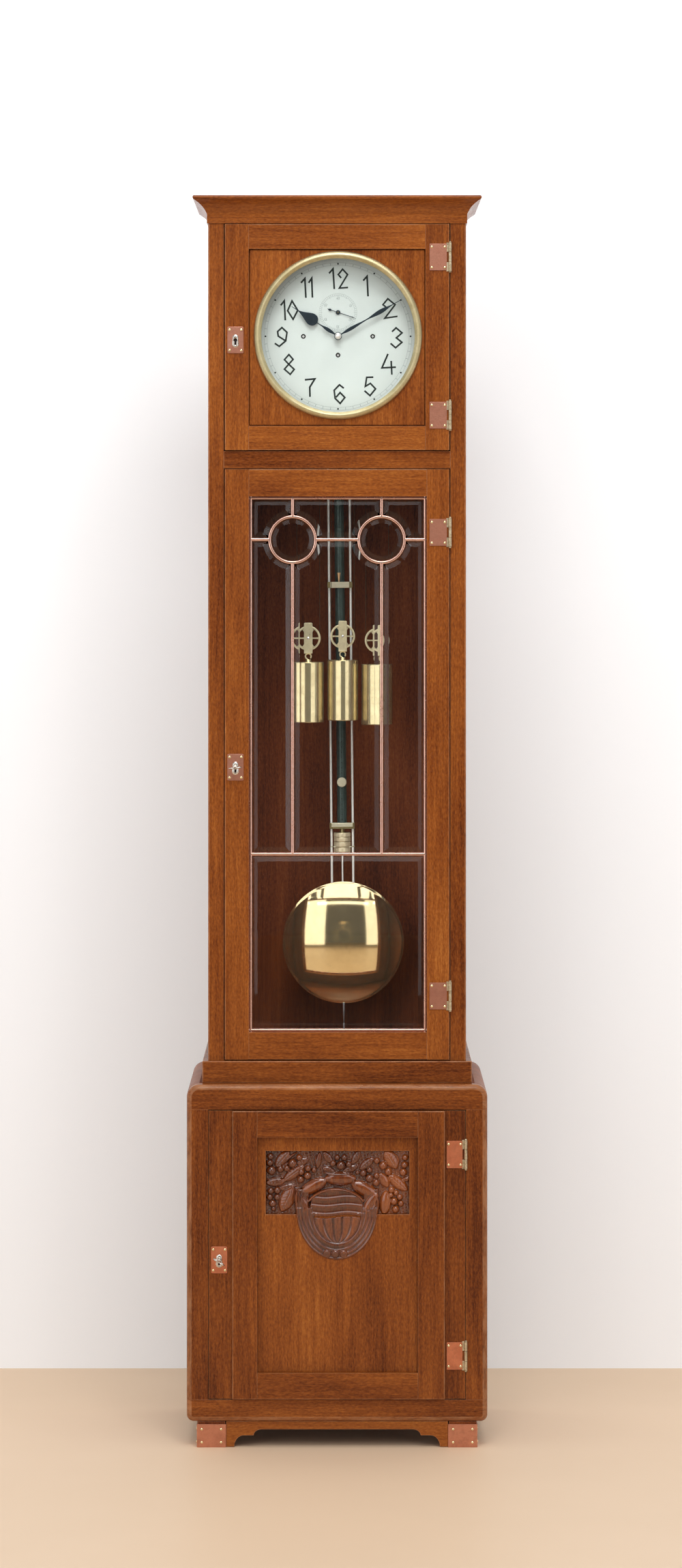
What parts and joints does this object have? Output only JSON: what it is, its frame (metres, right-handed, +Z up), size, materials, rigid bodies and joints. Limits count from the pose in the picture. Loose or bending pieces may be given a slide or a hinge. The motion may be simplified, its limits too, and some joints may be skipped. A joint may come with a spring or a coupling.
{
  "type": "longcase regulator clock",
  "caption": "Floor-standing regulator clock: tall wooden case with glazed trunk door, round silvered dial, carved base door, seconds pendulum and pulley-hung weights.",
  "frame": {"origin": "on the floor, under the middle of the clock's bounding box", "axes": "+Z up, -Y towards the front with the dial and doors, +X to the right seen from the front"},
  "size_m": [0.4806, 0.3365, 2],
  "materials": {
    "mahogany": "french polished, satin",
    "mahogany_carved": "carved and polished",
    "mahogany_inside": "oiled, dull",
    "copper": "hammered copper, lightly tarnished",
    "brass": "polished and lacquered",
    "silvered": "silvered, finely brushed",
    "steel": "bright, brushed",
    "nickel": "worn nickel plate",
    "blued_steel": "blued, satin",
    "tube_green": "dark green lacquer, satin",
    "gut": "twisted gut",
    "glass": "clear, bevelled"
  },
  "bodies": {
    "case": {"base_side_panels": "mahogany", "base_front_frame": "mahogany", "back_boards": "mahogany_inside", "base_inner_boards": "mahogany_inside", "plinth_step": "mahogany", "trunk_side_panels": "mahogany", "trunk_front_frame": "mahogany", "cornice": "mahogany", "feet": "mahogany_inside", "foot_brackets": "mahogany", "foot_caps": "copper", "case_hinge_leaves": "brass", "seat_board": "mahogany_inside", "movement_frame": "brass", "dial_plate": "silvered", "suspension_cock": "brass", "gong": "steel", "line_left": "gut", "line_centre": "gut", "line_right": "gut"},
    "dial_door": {"dial_door_frame": "mahogany", "dial_door_panel": "mahogany", "dial_bezel": "brass", "dial_glass": "glass", "dial_door_hinges": "copper", "dial_door_lock": "copper"},
    "dial_bolt": {"dial_door_bolt": "brass"},
    "trunk_door": {"trunk_door_frame": "mahogany", "trunk_door_came": "copper", "trunk_door_panes": "glass", "trunk_door_hinges": "copper", "trunk_door_lock": "copper"},
    "trunk_bolt": {"trunk_door_bolt": "brass"},
    "trunk_key": {"trunk_door_key": "nickel"},
    "base_door": {"base_door_frame": "mahogany", "base_door_panel": "mahogany", "base_door_carving": "mahogany_carved", "base_door_hinges": "copper", "base_door_lock": "copper"},
    "base_bolt": {"base_door_bolt": "brass"},
    "base_key": {"base_door_key": "nickel"},
    "minute_arbor": {"minute_hand": "blued_steel"},
    "hour_pipe": {"hour_hand": "blued_steel"},
    "seconds_arbor": {"seconds_hand": "blued_steel", "escape_wheel": "brass"},
    "anchor_arbor": {"anchor": "steel"},
    "hammer_arbor": {"strike_hammer": "brass"},
    "pendulum": {"pendulum_rods": "steel", "pendulum_tube": "tube_green", "pendulum_fittings": "brass", "pendulum_bob": "brass"},
    "weight_left_body": {"weight_left": "brass"},
    "pulley_left_body": {"pulley_left": "brass"},
    "barrel_left_body": {"barrel_left": "brass"},
    "weight_centre_body": {"weight_centre": "brass"},
    "pulley_centre_body": {"pulley_centre": "brass"},
    "barrel_centre_body": {"barrel_centre": "brass"},
    "weight_right_body": {"weight_right": "brass"},
    "pulley_right_body": {"pulley_right": "brass"},
    "barrel_right_body": {"barrel_right": "brass"}
  },
  "joints": [
    {"name": "dial_door_hinge", "type": "hinge", "parent": "case", "child": "dial_door", "pos_m": [0.1812, -0.11475, 1.777], "axis": [0, 0, 1], "range_deg": [0, 105]},
    {"name": "dial_bolt_slide", "type": "slide", "parent": "dial_door", "child": "dial_bolt", "axis": [-1, 0, 0], "range_m": [0, 0.008]},
    {"name": "trunk_door_hinge", "type": "hinge", "parent": "case", "child": "trunk_door", "pos_m": [0.1812, -0.11475, 1.089], "axis": [0, 0, 1], "range_deg": [0, 105]},
    {"name": "trunk_key_turn", "type": "hinge", "parent": "trunk_door", "child": "trunk_key", "pos_m": [-0.163, -0.11175, 1.0845], "axis": [0, 1, 0], "range_deg": [0, 97]},
    {"name": "trunk_bolt_slide", "type": "slide", "parent": "trunk_door", "child": "trunk_bolt", "axis": [-1, 0, 0], "range_m": [0, 0.0082]},
    {"name": "base_door_hinge", "type": "hinge", "parent": "case", "child": "base_door", "pos_m": [0.2054, -0.14475, 0.308], "axis": [0, 0, 1], "range_deg": [0, 100]},
    {"name": "base_key_turn", "type": "hinge", "parent": "base_door", "child": "base_key", "pos_m": [-0.1882, -0.14175, 0.3], "axis": [0, 1, 0], "range_deg": [0, 57]},
    {"name": "base_bolt_slide", "type": "slide", "parent": "base_door", "child": "base_bolt", "axis": [-1, 0, 0], "range_m": [0, 0.0082]},
    {"name": "seconds_spin", "type": "hinge", "parent": "case", "child": "seconds_arbor", "pos_m": [0.0015, -0.07775, 1.8155], "axis": [0, 1, 0], "continuous": true},
    {"name": "minute_spin", "type": "hinge", "parent": "case", "child": "minute_arbor", "pos_m": [0.0015, -0.07775, 1.777], "axis": [0, 1, 0], "continuous": true},
    {"name": "hour_spin", "type": "hinge", "parent": "case", "child": "hour_pipe", "pos_m": [0.0015, -0.07775, 1.777], "axis": [0, 1, 0], "continuous": true},
    {"name": "pendulum_swing", "type": "hinge", "parent": "case", "child": "pendulum", "pos_m": [0, 0.05825, 1.841], "axis": [0, 1, 0], "range_deg": [-1.45, 2.55]},
    {"name": "anchor_rock", "type": "hinge", "parent": "case", "child": "anchor_arbor", "pos_m": [0, -0.02175, 1.841], "axis": [0, 1, 0], "range_deg": [-1.5, 2.6]},
    {"name": "hammer_lift", "type": "hinge", "parent": "case", "child": "hammer_arbor", "pos_m": [-0.084, -0.02175, 1.721], "axis": [0, 1, 0], "range_deg": [0, 14]},
    {"name": "weight_left_travel", "type": "slide", "parent": "case", "child": "weight_left_body", "axis": [0, 0, 1], "range_m": [-0.46, 0.3], "deforming": ["line_left"]},
    {"name": "pulley_left_spin", "type": "hinge", "parent": "weight_left_body", "child": "pulley_left_body", "pos_m": [-0.0468, -0.02675, 1.2898], "axis": [0, 1, 0], "range_deg": [-930, 1425]},
    {"name": "barrel_left_spin", "type": "hinge", "parent": "case", "child": "barrel_left_body", "pos_m": [-0.0544, -0.02675, 1.777], "axis": [0, 1, 0], "range_deg": [-1320, 2025]},
    {"name": "weight_centre_travel", "type": "slide", "parent": "case", "child": "weight_centre_body", "axis": [0, 0, 1], "range_m": [-0.46, 0.3], "deforming": ["line_centre"]},
    {"name": "pulley_centre_spin", "type": "hinge", "parent": "weight_centre_body", "child": "pulley_centre_body", "pos_m": [0.0091, -0.02675, 1.293], "axis": [0, 1, 0], "range_deg": [-930, 1425]},
    {"name": "barrel_centre_spin", "type": "hinge", "parent": "case", "child": "barrel_centre_body", "pos_m": [0.0015, -0.02675, 1.7468], "axis": [0, 1, 0], "range_deg": [-1320, 2025]},
    {"name": "weight_right_travel", "type": "slide", "parent": "case", "child": "weight_right_body", "axis": [0, 0, 1], "range_m": [-0.46, 0.3], "deforming": ["line_right"]},
    {"name": "pulley_right_spin", "type": "hinge", "parent": "weight_right_body", "child": "pulley_right_body", "pos_m": [0.065, -0.02675, 1.2862], "axis": [0, 1, 0], "range_deg": [-930, 1425]},
    {"name": "barrel_right_spin", "type": "hinge", "parent": "case", "child": "barrel_right_body", "pos_m": [0.0574, -0.02675, 1.777], "axis": [0, 1, 0], "range_deg": [-1320, 2025]}
  ],
  "couplings": [
    {"joint": "trunk_bolt_slide", "follows": "trunk_key_turn", "m_per_rad": 0.0047254},
    {"joint": "base_bolt_slide", "follows": "base_key_turn", "m_per_rad": 0.0080415},
    {"joint": "minute_spin", "follows": "seconds_spin", "ratio": 0.016667},
    {"joint": "hour_spin", "follows": "seconds_spin", "ratio": 0.0013889},
    {"joint": "anchor_rock", "follows": "pendulum_swing", "ratio": 1},
    {"joint": "pulley_left_spin", "follows": "weight_left_travel", "rad_per_m": -53.763},
    {"joint": "barrel_left_spin", "follows": "weight_left_travel", "rad_per_m": -76.336},
    {"joint": "pulley_centre_spin", "follows": "weight_centre_travel", "rad_per_m": -53.763},
    {"joint": "barrel_centre_spin", "follows": "weight_centre_travel", "rad_per_m": -76.336},
    {"joint": "pulley_right_spin", "follows": "weight_right_travel", "rad_per_m": -53.763},
    {"joint": "barrel_right_spin", "follows": "weight_right_travel", "rad_per_m": -76.336}
  ]
}
